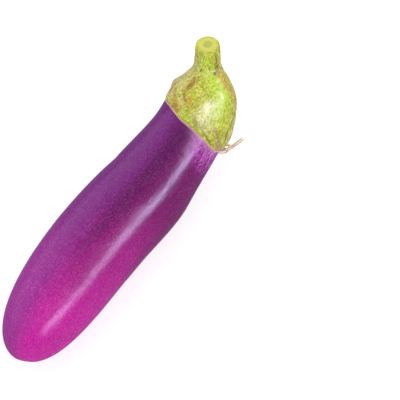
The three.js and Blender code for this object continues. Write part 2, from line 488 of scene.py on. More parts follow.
class Finish:
    """A Principled material being written, whose colour is laid on coat by coat."""

    def __init__(self, name: str) -> None:
        """Starts a material with a plain Principled shader.

        Args:
            name: The material's name.
        """
        self.material = bpy.data.materials.new(name)
        self.material.use_nodes = True
        self.sketch = Sketch(self.material.node_tree)
        self.shader = self.material.node_tree.nodes["Principled BSDF"]
        self.colour: object = None

    def set(self, name: str, value: object) -> None:
        """Gives one of the shader's inputs a value or a link."""
        self.sketch.feed(self.shader.inputs[name], value)

    def coat(self, share: Term, colour: object) -> None:
        """Lays a colour over the ones before it.

        Args:
            share: How much of it shows; under 0 is none, and over 1 is all.
            colour: The colour or its socket.
        """
        self.colour = self.sketch.mixed(share, self.colour, colour)

    @cached_property
    def place(self) -> bpy.types.NodeSocket:
        """Where each point lies on the straightened plant, in millimetres."""
        return self.sketch.stored(Place.STRAIGHT).outputs["Vector"]

    def group(self, tree: bpy.types.NodeTree, **sizes: float) -> Term:
        """A shared group placed in this material.

        Args:
            tree: The group.
            sizes: Its sizes, by name with _ for a space.

        Returns:
            Its output.
        """
        node = self.sketch.node("ShaderNodeGroup")
        node.node_tree = tree
        self.sketch.fill(node, Place=self.place, **sizes)
        return self.sketch.term(node.outputs[0])

    def mottle(self, blotch: float, drawn_out: float, contrast: float) -> Term:
        """Blotches of a size in millimetres, so many times as long, with a contrast."""
        return self.group(mottle_group(), Blotch=blotch, Drawn_Out=drawn_out, Contrast=contrast)

    def specks(self, spacing: float, radius: float, share: float) -> Term:
        """Specks with a spacing and a radius in millimetres, in a share of all cells."""
        return self.group(speckle_group(), Spacing=spacing, Radius=radius, Share=share)

    def raise_by(self, height: Term, strength: float, distance: float) -> None:
        """Feeds relief to the shader's normal.

        Args:
            height: The relief.
            strength: How much of it shows.
            distance: How high 1 stands, in metres.
        """
        bump = self.sketch.node("ShaderNodeBump", Strength=strength, Distance=distance, Height=height)
        self.set("Normal", bump.outputs["Normal"])


# --- The plant's form -------------------------------------------------------------------------------


@dataclass(frozen=True)
class Centreline:
    """The line down the middle of fruit and stem: two Bezier arcs that share a tangent."""

    blossom_end: Triple = (-98.7, -2.1, 25.1)
    body_handles: tuple[Triple, Triple] = ((-3, 6.5, 30), (23, -3, 27))
    neck_start: Triple = (41, -2.5, 28)
    neck_handles: tuple[Triple, Triple] = ((78, -1.5, 30.5), (100, -9, 34.5))
    stem_end: Triple = (120.8, 8.2, 80.1)
    steps: int = 600

    @cached_property
    def points(self) -> np.ndarray:
        """Closely spaced points along both arcs.

        Returns:
            The points in millimetres, one to a row.
        """
        t = np.linspace(0, 1, self.steps + 1)[:, None]
        arcs = []
        for a, (b, c), d in (
            (self.blossom_end, self.body_handles, self.neck_start),
            (self.neck_start, self.neck_handles, self.stem_end),
        ):
            a, b, c, d = (np.array(p, float) for p in (a, b, c, d))
            u = 1 - t
            arcs.append(u**3 * a + 3 * u * u * t * b + 3 * u * t * t * c + t**3 * d)
        return np.concatenate([arcs[0], arcs[1][1:]])

    @cached_property
    def distances(self) -> np.ndarray:
        """How far along the line each point is."""
        steps = np.linalg.norm(np.diff(self.points, axis=0), axis=1)
        return np.concatenate([[0.0], np.cumsum(steps)])

    @property
    def length(self) -> float:
        """The line's whole length."""
        return float(self.distances[-1])

    def point(
        self, distance: np.ndarray, turn: np.ndarray, radius: np.ndarray, push: np.ndarray
    ) -> np.ndarray:
        """Places round the line.

        Args:
            distance: How far along the line.
            turn: Degrees round it from the upper side.
            radius: How far out.
            push: How far on along the line.

        Returns:
            The places, in millimetres, with x, y and z along a last axis.
        """
        tangents = np.gradient(self.points, self.distances, axis=0)
        at = np.clip(distance, 0, self.length)
        centre, along = (
            np.stack([np.interp(at, self.distances, line[:, k]) for k in range(3)], -1)
            for line in (self.points, tangents)
        )
        along /= np.linalg.norm(along, axis=-1, keepdims=True)
        side = np.cross(along, WORLD_UP)
        side /= np.linalg.norm(side, axis=-1, keepdims=True)
        upper = np.cross(side, along)
        angle = np.radians(turn)
        out = upper * np.cos(angle)[..., None] + side * np.sin(angle)[..., None]
        return centre + out * np.asarray(radius)[..., None] + along * np.asarray(push)[..., None]


@dataclass(frozen=True)
class FruitForm:
    """The fruit's radius as a rule of the distance and the turn."""

    length: float = 223.0
    belly_radius: float = 28.8
    neck_radius: float = 22.7
    belly_at: float = 115.0
    neck_at: float = 199.0
    blossom_cap: float = 159.0
    blossom_power: float = 5.6
    top_cap: float = 36.0
    top_power: float = 2.3
    oval_share: float = 0.003
    oval_turn: float = -70.0
    rib_count: float = 5.0
    rib_share: float = 0.008
    rib_turn: float = 52.0
    ribs_from: float = 120.0
    scar_depth: float = 1.3
    scar_width: float = 3.6
    scar_off: float = 6.0
    scar_turn: float = 110.0

    @cached_property
    def sizes(self) -> dict[str, float]:
        """The rule's numbers.

        Returns:
            The numbers by name, with the turns in radians.
        """
        sizes = {rule.name: getattr(self, rule.name) for rule in fields(self)}
        turns = {name: math.radians(turn) for name, turn in sizes.items() if name.endswith("turn")}
        return sizes | turns

    def radius(self, distance: np.ndarray, turn: np.ndarray) -> np.ndarray:
        """The fruit's radius in millimetres, at distances up to its length and turns in degrees."""
        return swept_radius(SimpleNamespace(**self.sizes), distance, np.radians(turn))[0]


def swept_radius(size: SimpleNamespace, distance: Number, angle: Number) -> tuple[Number, Number]:
    """The rule for the fruit's radius, the same for arrays and for a node tree.

    Args:
        size: FruitForm's sizes.
        distance: How far along the centreline.
        angle: Radians round it.

    Returns:
        The radius in millimetres, and the share of it that the blossom end's rounding leaves.
    """
    down = held((distance - size.belly_at) / (size.neck_at - size.belly_at))
    swollen = (size.belly_radius - size.neck_radius) * (1.0 + np.cos(down * math.pi)) * 0.5
    blossom = np.sqrt(1.0 - held(1.0 - distance / size.blossom_cap) ** size.blossom_power)
    from_top = (size.length - distance) / size.top_cap
    top = np.sqrt(1.0 - held(1.0 - from_top) ** size.top_power)
    oval = size.oval_share * np.cos((angle - size.oval_turn) * 2.0)
    grown = smooth((distance - size.ribs_from) / (size.neck_at - size.ribs_from))
    ribs = size.rib_share * grown * np.cos(size.rib_count * (angle - size.rib_turn))
    return (size.neck_radius + swollen) * blossom * top * (1.0 + oval + ribs), blossom


@dataclass(frozen=True)
class CalyxForm:
    """The calyx and stem as a rule of the share from the stem's cut to the rim and of the turn."""

    line: Centreline
    fruit: FruitForm
    outer_profile: Pairs = (
        (170, 25.6),
        (188, 25.2),
        (194, 24.8),
        (200, 23.7),
        (206, 22.1),
        (212, 20.0),
        (217, 16.8),
        (221, 14.1),
        (225, 11.0),
        (229, 8.9),
        (233, 8.3),
        (238, 7.9),
        (250, 7.2),
    )
    fit_gap: float = 0.3
    edge_wall: float = 0.75
    edge_taper: float = 4.5
    cut_slant: float = 15.0
    slant_fade: float = 8.0
    cut_bevel: float = 1.0
    pith_radius: float = 3.4
    pith_depth: float = 0.5
    pith_floor: float = 2.2
    stem_ribs: float = 5.0
    stem_rib_height: float = 0.3
    stem_twist: float = 1.0
    stem_ribs_from: float = 222.0
    rim_points: Pairs = (
        (-180, 185),
        (-168, 190),
        (-148, 199),
        (-130, 192),
        (-115, 187),
        (-102, 193),
        (-86, 205),
        (-71, 200.5),
        (-58, 197),
        (-42, 196.5),
        (-24, 193.9),
        (-4, 189.5),
        (14, 187.2),
        (36, 183.9),
        (56, 181.3),
        (74, 180.4),
        (86, 182),
        (104, 187.5),
        (118, 192.5),
        (138, 199),
        (166, 190),
    )
    lapped_edge: Pairs = (
        (0, -39),
        (0.48, -39),
        (0.57, -35),
        (0.655, -22),
        (0.72, -6),
        (0.79, 10),
        (0.87, 24),
        (0.94, 44),
        (1, 68),
    )
    lap_height: float = 0.9
    lap_sink: float = 0.5
    lap_sink_width: float = 40.0
    lap_half_step: float = 0.5
    lap_far_edge: float = 60.0
    lap_far_fade: float = 60.0
    lap_from: float = 0.3
    lap_full: float = 0.5
    midribs: tuple[float, ...] = (44, -66, -128, 172)
    midrib_height: float = 0.7
    midrib_width: float = 12.0
    furrows: tuple[float, ...] = (-150, 124)
    furrow_depth: float = 1.1
    furrow_width: float = 9.0
    sepal_lean: float = 0.7
    lean_from: float = 220.0
    relief_top: float = 226.0
    relief_fade: float = 14.0
    knuckle: tuple[float, float] = (212.0, -100.0)
    knuckle_height: float = 1.5
    knuckle_length: float = 4.5
    knuckle_width: float = 13.0
    tip_lifts: tuple[Triple, ...] = ((94, 34, 0.7), (-120, 18, 0.9), (180, 24, 0.7))
    tip_lift_length: float = 10.0

    def rim(self, turn: np.ndarray) -> np.ndarray:
        """How far along the centreline the calyx's edge is at each turn."""
        pairs = tuple((a + k, d) for k in (-360, 0, 360) for a, d in self.rim_points)
        return curve_through(angle_between(turn, 0), pairs)

    def tip_lift(self, turn: np.ndarray, from_rim: np.ndarray) -> np.ndarray:
        """How far the sepals' tips stand off the fruit."""
        lifts = sum(height * swell(angle_between(turn, a) / spread) for a, spread, height in self.tip_lifts)
        return lifts * (1 - smooth(from_rim / self.tip_lift_length))

    def lap(self, share: np.ndarray, past_edge: np.ndarray) -> np.ndarray:
        """The lap's height: up on the widest sepal, down on the one under it.

        Args:
            share: Share of the way from the cut to the rim.
            past_edge: Degrees past the lapped edge.

        Returns:
            The height to add.
        """
        grown = smooth((share - self.lap_from) / (self.lap_full - self.lap_from))
        edge = curve_through(share, self.lapped_edge)
        far_side = 1 - smooth((edge + past_edge - self.lap_far_edge) / self.lap_far_fade)
        sunk = -self.lap_sink * (1 - smooth(-past_edge / self.lap_sink_width))
        return grown * np.where(past_edge > 0, self.lap_height * far_side, sunk)

    def relief(self, distance: np.ndarray, turn: np.ndarray) -> np.ndarray:
        """The sepals' midribs and furrows, a small knob, and the stem's ribs.

        Args:
            distance: How far along the centreline.
            turn: Degrees round it.

        Returns:
            The height to add.
        """
        at_foot = turn - self.sepal_lean * (self.lean_from - distance)
        ridges = sum(swell(angle_between(at_foot, a) / self.midrib_width) for a in self.midribs)
        dips = sum(swell(angle_between(at_foot, a) / self.furrow_width) for a in self.furrows)
        on_dome = smooth((self.relief_top - distance) / self.relief_fade)
        twisted = turn + self.stem_twist * (self.line.length - distance)
        ribs = np.cos(np.radians(self.stem_ribs * twisted))
        on_stem = smooth((distance - self.stem_ribs_from) / self.slant_fade)
        sepals = on_dome * (self.midrib_height * ridges - self.furrow_depth * dips)
        knob_at, knob_turn = self.knuckle
        off = np.hypot(
            (distance - knob_at) / self.knuckle_length, angle_between(turn, knob_turn) / self.knuckle_width
        )
        return sepals + self.knuckle_height * swell(off) + self.stem_rib_height * ribs * on_stem

    def slant_push(self, radius: np.ndarray, turn: np.ndarray, from_cut: np.ndarray) -> np.ndarray:
        """How far the cut's slant pushes a point along the stem."""
        near = 1 - smooth(from_cut / self.slant_fade)
        return -math.tan(math.radians(self.cut_slant)) * radius * np.cos(np.radians(turn)) * near


class Skins(Enum):
    """The record's material slots."""

    SKIN = "skin"
    CALYX = "calyx"


def store(mesh: bpy.types.Mesh, place: Place, values: np.ndarray) -> None:
    """Stores numbers or places on a mesh's points.

    Args:
        mesh: The mesh.
        place: What they are.
        values: One number or one triple for each point.
    """
    values = np.asarray(values, np.float32)
    kind, field_name = ("FLOAT_VECTOR", "vector") if values.ndim == 2 else ("FLOAT", "value")
    made = mesh.attributes.new(place.value, kind, "POINT")
    made.data.foreach_set(field_name, values.ravel())


def show(name: str, mesh: bpy.types.Mesh, slot: Skins, *nodes: str) -> bpy.types.Object:
    """Puts a finished mesh in the scene as a piece.

    Args:
        name: The piece's name.
        mesh: Its mesh, in the part's frame.
        slot: The record's slot for its finish; not used.
        nodes: The solids that it stands for.

    Returns:
        The piece.
    """
    piece = bpy.data.objects.new(name, mesh)
    bpy.context.scene.collection.objects.link(piece)
    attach(piece, "root")
    if nodes:
        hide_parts(*nodes)
    log.info("%s: %d points, %d faces", name, len(mesh.vertices), len(mesh.polygons))
    return piece


# --- Finishes ---------------------------------------------------------------------------------------


@dataclass(frozen=True)
class FruitSkin:
    """Waxy purple skin: pinker at the blossom end, with a painted shade stripe along its upper side, a
    painted sheen along one side and painted sheen and glints on the neck just below the calyx.

    Places to the side are in half widths of the fruit, 1 towards -Y.
    """

    # the side colours: the skin's purple made greyer and bluer by a painted sheen
    flank_neck: Colour = (0.19, 0.014, 0.20, 1)
    flank_tip: Colour = (0.42, 0.022, 0.34, 1)
    front_neck: Colour = (0.20, 0.006, 0.140, 1)
    front_tip: Colour = (0.72, 0.013, 0.43, 1)
    # a dark purple for random blotches, grain and dashes, and for the painted shade stripe
    deep: Colour = (0.070, 0.004, 0.085, 1)
    pale: Colour = (0.74, 0.34, 0.68, 1)
    speck: Colour = (0.80, 0.24, 0.66, 1)
    # painted glints and a painted violet sheen on the neck just below the calyx
    sparkle: Colour = (0.98, 0.24, 1.0, 1)
    shoulder: Colour = (0.38, 0.020, 0.38, 1)
    half_width: float = 26.0
    pink_reach: float = 135.0
    # where the painted shade stripe lies across the upper side, and where it fades out towards the blossom
    # end
    band_at: float = 0.16
    band_width: float = 0.22
    band_fade: float = 60.0
    shoulder_at: float = 0.76
    shoulder_width: float = 0.26
    shoulder_reach: float = 24.0
    pale_rim: float = 1.7
    blush_reach: float = 9.0

    def material(self) -> bpy.types.Material:
        """Writes the skin's material.

        Returns:
            The material.
        """
        finish = Finish("eggplant_skin")
        sketch = finish.sketch
        along = sketch.stored_number(Place.ALONG)
        from_rim = sketch.stored_number(Place.FROM_RIM)
        split = sketch.node("ShaderNodeSeparateXYZ", Vector=finish.place)
        aside = sketch.term(split.outputs["Y"]) / self.half_width
        upper = sketch.term(split.outputs["X"]).smooth()
        blotches = finish.mottle(22.0, 3.0, 1.2)
        streaks = finish.mottle(1.6, 8.0, 1.0)
        grains = finish.mottle(0.8, 1.5, 2.2)
        specks = finish.specks(2.2, 0.24, 0.3)

        to_tip = (1.06 - along / self.pink_reach + (blotches - 0.5) * 0.35).smooth()
        # one side of the fruit gets a painted sheen, the other the plain skin colour
        flank_with_painted_sheen = sketch.mixed(to_tip, self.flank_neck, self.flank_tip)
        front = sketch.mixed(to_tip, self.front_neck, self.front_tip)
        finish.colour = sketch.mixed((aside * 2.0 + 0.5).smooth(), flank_with_painted_sheen, front)
        # painted shade: a dark stripe along the upper side beside the painted sheen
        painted_shade_band = ((aside - self.band_at) / self.band_width).swell() * upper
        painted_shade_band = painted_shade_band * (along / self.band_fade - 0.5).share()
        finish.coat(painted_shade_band * 0.55 + (blotches - 0.5) * 0.35 + (streaks - 0.5) * 0.25, self.deep)
        finish.coat(((grains - 0.55) * 0.5 + specks * 0.28) * (0.6 + to_tip * 0.5), self.speck)
        finish.coat((0.45 - grains) * 0.6, self.deep)

        # Just below the calyx on the front side: a painted violet sheen, painted glints in dashes and dark
        # dashes between them.
        dashes = finish.mottle(0.55, 5.0, 3.0)
        by_neck = ((from_rim + self.shoulder_reach) / 22.0).smooth()
        shoulder = ((aside - self.shoulder_at) / self.shoulder_width).swell() * by_neck
        finish.coat(shoulder * 0.5, self.shoulder)
        finish.coat((dashes - 0.56) * 3.4 * shoulder, self.sparkle)
        finish.coat((0.42 - dashes) * 1.8 * shoulder, self.deep)
        # The skin is paler just under the calyx's rim; the paler patch below it on the front side is partly
        # painted sheen.
        under_rim = ((from_rim + self.pale_rim) / 1.4).smooth()
        pale_blush_and_painted_sheen = ((from_rim + self.blush_reach) / self.blush_reach).smooth() * 0.3 * (aside * 2.0).smooth()
        finish.coat(under_rim + pale_blush_and_painted_sheen, self.pale)
        finish.set("Base Color", finish.colour)

        patches = finish.mottle(5.0, 2.0, 1.6)
        finish.set("Roughness", (0.23 + (streaks - 0.5) * 0.08 + (patches - 0.5) * 0.1).share())
        finish.set("IOR", 1.45)
        peel = sketch.number_noise(finish.place, 0.9, 2.0)
        grain = finish.mottle(1.1, 5.0, 1.0)
        finish.raise_by(peel * 0.6 + grain * 0.4 + specks * 0.4, 0.7, 0.00016)
        return finish.material


# What lies on the calyx's green, from the lowest layer up: how ragged it is, and whether its edge is crisp.
CALYX_LAYERS: dict[Place, tuple[float, bool]] = {
    Place.FRESH: (0.3, False),
    Place.WEATHERED: (0.4, False),
    Place.TAN: (0.5, False),
    Place.AMBER: (1.9, True),
    Place.RUSSET: (2.1, True),
    Place.MAUVE: (0.8, True),
    Place.PIT: (0.4, True),
}


@dataclass(frozen=True)
class CalyxSkin:
    """Thick yellow-green sepals and stem: tan margins, russet scars, a fine grain, dark pitting and painted
    shade along the creases.
    """

    green: Colour = (0.50, 0.61, 0.012, 1)
    yellow: Colour = (0.68, 0.75, 0.035, 1)
    fresh: Colour = (0.62, 0.92, 0.04, 1)
    weathered: Colour = (0.64, 0.61, 0.22, 1)
    tan: Colour = (0.76, 0.64, 0.25, 1)
    amber: Colour = (0.68, 0.37, 0.01, 1)
    olive: Colour = (0.33, 0.35, 0.015, 1)
    russet: Colour = (0.40, 0.17, 0.02, 1)
    mauve: Colour = (0.50, 0.28, 0.20, 1)
    pit: Colour = (0.20, 0.17, 0.02, 1)
    pore: Colour = (0.22, 0.25, 0.02, 1)
    fleck: Colour = (0.95, 1.0, 0.32, 1)
    cut: Colour = (0.72, 0.80, 0.13, 1)
    pith: Colour = (0.54, 0.59, 0.12, 1)
    rim: Colour = (0.92, 0.46, 0.50, 1)
    rim_width: float = 1.8
    olive_at: float = 7.0
    olive_width: float = 5.0

    def material(self) -> bpy.types.Material:
        """Writes the calyx's material.

        Returns:
            The material.
        """
        finish = Finish("calyx_skin")
        sketch = finish.sketch
        mottle = finish.mottle(5.0, 1.8, 1.5)
        fine = finish.mottle(0.8, 2.4, 2.6)
        veins = finish.mottle(2.0, 2.6, 2.6)
        dry = finish.mottle(3.2, 1.4, 2.4)
        pores = finish.specks(1.1, 0.2, 0.35)
        flecks = finish.specks(1.0, 0.22, 0.35)
        stored = {place: sketch.stored_number(place) for place in (*CALYX_LAYERS, Place.CUT, Place.PITH)}
        from_rim = sketch.stored_number(Place.FROM_RIM)
        fresh = stored[Place.FRESH]

        finish.colour = sketch.mixed(mottle, self.green, self.yellow)
        by_rim = ((from_rim - self.olive_at) / self.olive_width).swell() * 0.45
        finish.coat((0.5 - veins) * 0.9 * (1.0 - fresh) + by_rim, self.olive)
        finish.coat((dry - 0.62) * 1.6 * (1.0 - fresh), self.tan)
        for place, (ragged, crisp) in CALYX_LAYERS.items():
            laid = stored[place]
            worn = laid + (fine + mottle - 1.0) * ragged * laid
            finish.coat(((worn - 0.2) / 0.6).smooth() if crisp else worn, getattr(self, place.value))
        rough = 1.5 - fresh * 0.6 - veins * 0.7
        finish.coat(((0.45 - fine) * 1.2 + pores * 0.25) * rough, self.pore)
        finish.coat(((fine - 0.52) * 1.2 + flecks * 0.25) * (0.5 + veins * 0.8), self.fleck)
        finish.coat((1.0 - from_rim / self.rim_width).smooth() * 0.95, self.rim)
        fresh_cut = sketch.mixed(stored[Place.PITH] + (mottle - 0.5) * 0.3, self.cut, self.pith)
        finish.coat(stored[Place.CUT], fresh_cut)
        finish.set("Base Color", finish.colour)

        dull = stored[Place.RUSSET] * 0.2 + stored[Place.CUT] * 0.2
        finish.set("Roughness", (0.24 + (fine - 0.5) * 0.2 + dull).share())
        finish.set("IOR", 1.38)
        grain = sketch.number_noise(finish.place, 1.2, 3.0, 0.6)
        finish.raise_by(grain * 0.6 + fine * 0.5 - pores * 0.4, 0.8, 0.00009)
        return finish.material


@dataclass(frozen=True)
class DryFibre:
    """Papery tan fibre with darker bands along it."""

    pale: Colour = (0.76, 0.60, 0.25, 1)
    dark: Colour = (0.26, 0.15, 0.05, 1)
    bands_a_metre: float = 900.0

    def material(self, name: str) -> bpy.types.Material:
        """Writes the fibre's material.

        Args:
            name: The material's name.

        Returns:
            The material.
        """
        finish = Finish(name)
        at = finish.sketch.node("ShaderNodeTexCoord").outputs["Object"]
        bands = finish.sketch.number_noise(at, self.bands_a_metre, 3.0)
        finish.set("Base Color", finish.sketch.mixed((bands - 0.45) * 4.0, self.pale, self.dark))
        finish.set("Roughness", 0.5 + bands * 0.3)
        finish.raise_by(bands, 0.5, 0.0001)
        return finish.material


# --- Pieces -----------------------------------------------------------------------------------------


@dataclass
class Fruit:
    """The purple fruit, swept along the centreline by a geometry tree."""

    line: Centreline
    form: FruitForm
    calyx: CalyxForm
    skin: FruitSkin = field(default_factory=FruitSkin)
    around: int = 256
    along: int = 300
    lump_height: float = 0.22
    lump_size: float = 26.0
    lumps_end: float = 178.0
    lumps_fade: float = 20.0

    def growth(self) -> Growth:
        """Writes the tree that turns the centreline into the fruit.

        Returns:
            The tree.
        """
        own = ("lump_height", "lump_size", "lumps_end", "lumps_fade", "around", "along")
        sizes = self.form.sizes | {name: getattr(self, name) for name in own}
        tree = Growth("fruit_form", self.skin.material(), sizes)
        size = tree.size
        grid = tree.node("GeometryNodeMeshGrid", Size_X=1.0, Size_Y=1.0)
        tree.fill(grid, Vertices_X=size.along + 1.0, Vertices_Y=size.around + 1.0)
        spot = tree.node("ShaderNodeSeparateXYZ", Vector=tree.node("GeometryNodeInputPosition").outputs[0])
        angle = (tree.term(spot.outputs["Y"]) + 0.5) * (2 * math.pi)
        distance = size.length * (1.0 - ((tree.term(spot.outputs["X"]) + 0.5) * math.pi).cos()) * 0.5
        plain, blossom = swept_radius(size, distance, angle)
        even = tree.node("ShaderNodeCombineXYZ", X=plain * angle.cos(), Y=plain * angle.sin(), Z=distance)
        scaled = tree.vector("SCALE", even.outputs[0], size.lump_size ** -1.0)
        lumps = tree.number_noise(scaled, 1.0, 2.0) - 0.5
        free = ((size.lumps_end - distance) / size.lumps_fade).smooth() * blossom
        radius = plain + lumps * 2.0 * size.lump_height * free
        up, aside = radius * angle.cos(), radius * angle.sin()
        straight = tree.node("ShaderNodeCombineXYZ", X=up, Y=aside, Z=distance).outputs[0]
        scar_up = up - size.scar_off * size.scar_turn.cos()
        scar_aside = aside - size.scar_off * size.scar_turn.sin()
        from_scar = (scar_up * scar_up + scar_aside * scar_aside).sqrt() / size.scar_width
        push = size.scar_depth * from_scar.swell() * distance.less_than(size.belly_at)

        path = tree.node("GeometryNodeMeshToCurve", Mesh=tree.given["Geometry"])
        sampled = tree.node("GeometryNodeSampleCurve", Curves=path.outputs[0])
        sampled.mode = "LENGTH"
        sampled.use_all_curves = True
        tree.fill(sampled, Length=distance * MM)
        ahead = sampled.outputs["Tangent"]
        side = tree.vector("NORMALIZE", tree.vector("CROSS_PRODUCT", ahead, WORLD_UP), None)
        upper = tree.vector("CROSS_PRODUCT", side, ahead)
        point = sampled.outputs["Position"]
        for way, reach in ((upper, up), (side, aside), (ahead, push)):
            point = tree.vector("ADD", point, tree.vector("SCALE", way, reach * MM))
        rested = tree.vector("MAXIMUM", point, LOWEST)

        stored = grid.outputs["Mesh"]
        kept = (Place.STRAIGHT, "FLOAT_VECTOR", straight), (Place.ALONG, "FLOAT", distance)
        for place, kind, value in kept:
            keep = tree.node("GeometryNodeStoreNamedAttribute", Geometry=stored, Name=place.value)
            keep.data_type = kind
            tree.feed(next(s for s in keep.inputs if s.name == "Value" and s.enabled), value)
            stored = keep.outputs[0]
        shaped = tree.node("GeometryNodeSetPosition", Geometry=stored, Position=rested)
        closed = tree.node("GeometryNodeMergeByDistance", Geometry=shaped.outputs[0], Distance=SEAM)
        outward = tree.node("GeometryNodeFlipFaces", Mesh=closed.outputs[0])
        tree.dress(tree.node("GeometryNodeSetShadeSmooth", Geometry=outward.outputs[0]).outputs[0])
        return tree

    def build(self) -> bpy.types.Object:
        """Makes the fruit in place of its solid.

        Returns:
            The fruit.
        """
        path = bpy.data.meshes.new("centreline")
        points = self.line.points * MM
        path.from_pydata(points.tolist(), [(i, i + 1) for i in range(len(points) - 1)], [])
        mesh = self.growth().mesh("fruit_skin", path)
        straight = np.empty(len(mesh.vertices) * 3, np.float32)
        mesh.attributes[Place.STRAIGHT.value].data.foreach_get("vector", straight)
        up, aside, distance = straight.reshape(-1, 3).T
        store(mesh, Place.FROM_RIM, distance - self.calyx.rim(np.degrees(np.arctan2(aside, up))))
        return show("fruit_skin", mesh, Skins.SKIN, "fruit")


@dataclass(frozen=True)
class Mark:
    """A coloured patch or a line on the calyx, along a path of (distance, turn)."""

    place: Place
    path: Pairs
    width: float
    strength: float = 1.0
    ragged: float = 0.5


class Rings(NamedTuple):
    """Rings of points round the plant, each value as rings by points round."""

    distance: np.ndarray
    turn: np.ndarray
    radius: np.ndarray
    push: np.ndarray
    share: np.ndarray  # of the way from the cut to the rim; under 0 on the cut's face, over 1 inside

    def full(self) -> "Rings":
        """The same with every value given at every point."""
        return Rings(*np.broadcast_arrays(*self))


@dataclass
class CalyxAndStem:
    """The calyx in one with its stem: thick lapped sepals that run up into a ribbed, cut stem."""

    line: Centreline
    form: CalyxForm
    skin: CalyxSkin = field(default_factory=CalyxSkin)
    around: int = 360
    along: int = 210
    inner: int = 16
    closing: float = 1.6
    wrinkle_height: float = 0.09
    lump_height: float = 0.25
    bark_height: float = 0.2
    wrinkle_length: float = 7.0
    least_reach: float = 6.0
    lip_width: float = 0.8
    lip_height: float = 0.1
    bevel_steps: tuple[float, ...] = (20, 40, 60, 75)
    sharp_angle: float = 60.0
    # how dark the painted shade along the creases is
    crease_darkness: float = 2.6
    # Where the skin is creased: each line's width and depth, and its path of (distance, turn); each crease
    # also gets painted shade, darker the deeper it is.
    creases: tuple[tuple[float, float, Pairs], ...] = (
        (0.8, 0.6, ((211, 94), (204.3, 84), (199.6, 78), (193.7, 71), (189, 78))),
        (0.5, 0.4, ((228.5, -53), (225.5, -34), (223.5, -20))),
        (0.5, 0.3, ((227.5, -70), (223, -55), (219.5, -42))),
        (0.5, 0.3, ((228.9, -25), (225.5, -22), (222, -26))),
        (0.5, 0.3, ((230.5, 46), (225, 40), (220, 44))),
        (0.5, 0.3, ((227, 5), (221, 4), (214, 8))),
    )
    dimples: tuple[tuple[float, float], ...] = ((228.9, -25), (230.9, 9), (227.2, 33))
    dimple_radius: float = 0.75
    dimple_length: float = 0.8
    cut_from_rim: float = 50.0
    cut_edge: float = 5.6
    cut_fade: float = 1.4
    pith_edge: float = 2.0
    pith_fade: float = 1.8
    hairs_from: float = 216.0
    hairs_full: float = 232.0
    marks: tuple[Mark, ...] = (
        Mark(Place.WEATHERED, ((243, -88), (233, -92), (227, -78)), 5.0, 0.9, 0.3),
        Mark(Place.WEATHERED, ((227, -80), (216, -78), (205, -66)), 9.5, 0.9, 0.2),
        Mark(Place.WEATHERED, ((206, 112), (196, 118)), 8.0, 0.7, 0.3),
        Mark(Place.WEATHERED, ((220, 170), (202, 172)), 12.0, 0.8, 0.3),
        Mark(Place.WEATHERED, ((204.5, -26), (199, -10)), 2.4, 0.55, 0.2),
        Mark(Place.TAN, ((216, -100), (208, -84), (205, -60)), 4.0, 0.8),
        Mark(
            Place.TAN,
            ((209.5, -17), (205.5, -4), (199.6, 11), (194.4, 24), (189.3, 38), (185.3, 54)),
            0.9,
            0.5,
        ),
        Mark(Place.TAN, ((204, 92), (198, 90), (189.8, 91)), 3.8, 0.9),
        Mark(Place.TAN, ((226, 60), (221, 66), (214, 82)), 3.4, 0.7),
        Mark(Place.TAN, ((208.5, -30), (205.5, -22)), 1.8, 0.8),
        Mark(Place.TAN, ((239, 62), (234, 55), (230, 53)), 1.1, 0.8),
        Mark(Place.FRESH, ((228, 16), (221.8, 27), (216, 38), (208, 44)), 4.6, 0.8, 0.3),
        Mark(Place.FRESH, ((208, 44), (200, 44)), 5.0, 0.45, 0.4),
        Mark(Place.FRESH, ((241.5, -14), (234, -12), (229, -8)), 3.4, 0.75, 0.3),
        Mark(Place.FRESH, ((224, 40), (216, 50)), 4.0, 1.0, 0.3),
        Mark(Place.FRESH, ((205, -34), (199, -12), (193, 3)), 3.0, 0.5),
        Mark(Place.AMBER, ((223, 65), (219.3, 73), (215.4, 79), (211, 86)), 2.6, 1.2),
        Mark(Place.AMBER, ((216, -33), (213.5, -27), (210, -14), (206, -6)), 2.6, 0.8),
        Mark(Place.AMBER, ((203.2, -37), (199.6, -20)), 3.2, 1.6),
        Mark(Place.AMBER, ((237, 42), (231.5, 44), (227.5, 46)), 1.9, 1.2),
        Mark(Place.AMBER, ((222.8, -31), (217.4, -33)), 2.4, 0.7),
        Mark(Place.AMBER, ((201.8, 80), (196, 72), (190, 76)), 1.2, 0.7),
        Mark(Place.RUSSET, ((222.6, -32), (220.3, -33), (217.8, -33)), 1.9, 1.4),
        Mark(Place.RUSSET, ((214.6, -34), (211.2, -26), (209, -20)), 1.4, 1.1),
        Mark(Place.RUSSET, ((222.5, 69), (218.5, 76), (214, 82)), 0.9, 0.9),
        Mark(Place.RUSSET, ((214, -100), (211, -92), (208.5, -84), (206.8, -74)), 1.7, 0.9),
        Mark(Place.RUSSET, ((213.5, -76), (212.5, -70)), 1.1, 1.0),
        Mark(Place.RUSSET, ((210.5, -66), (208.5, -60)), 1.2, 0.9),
        Mark(Place.RUSSET, ((212.5, -56), (209.5, -47), (207, -43)), 1.2, 0.95),
        Mark(Place.RUSSET, ((201.8, -36), (199.6, -22)), 2.6, 1.5),
        Mark(Place.RUSSET, ((242, 30), (240, 35)), 0.7, 0.9),
        Mark(Place.PIT, ((239.5, 36), (235.6, 40)), 0.6, 0.8),
        Mark(Place.PIT, ((234.5, 44), (232, 43), (229.5, 44)), 1.2, 1.1),
        Mark(Place.MAUVE, ((195.4, 45), (191, 54), (185.3, 68)), 0.9, 0.8),
        Mark(Place.MAUVE, ((184.5, 66), (181.8, 74)), 2.0, 1.0),
    )

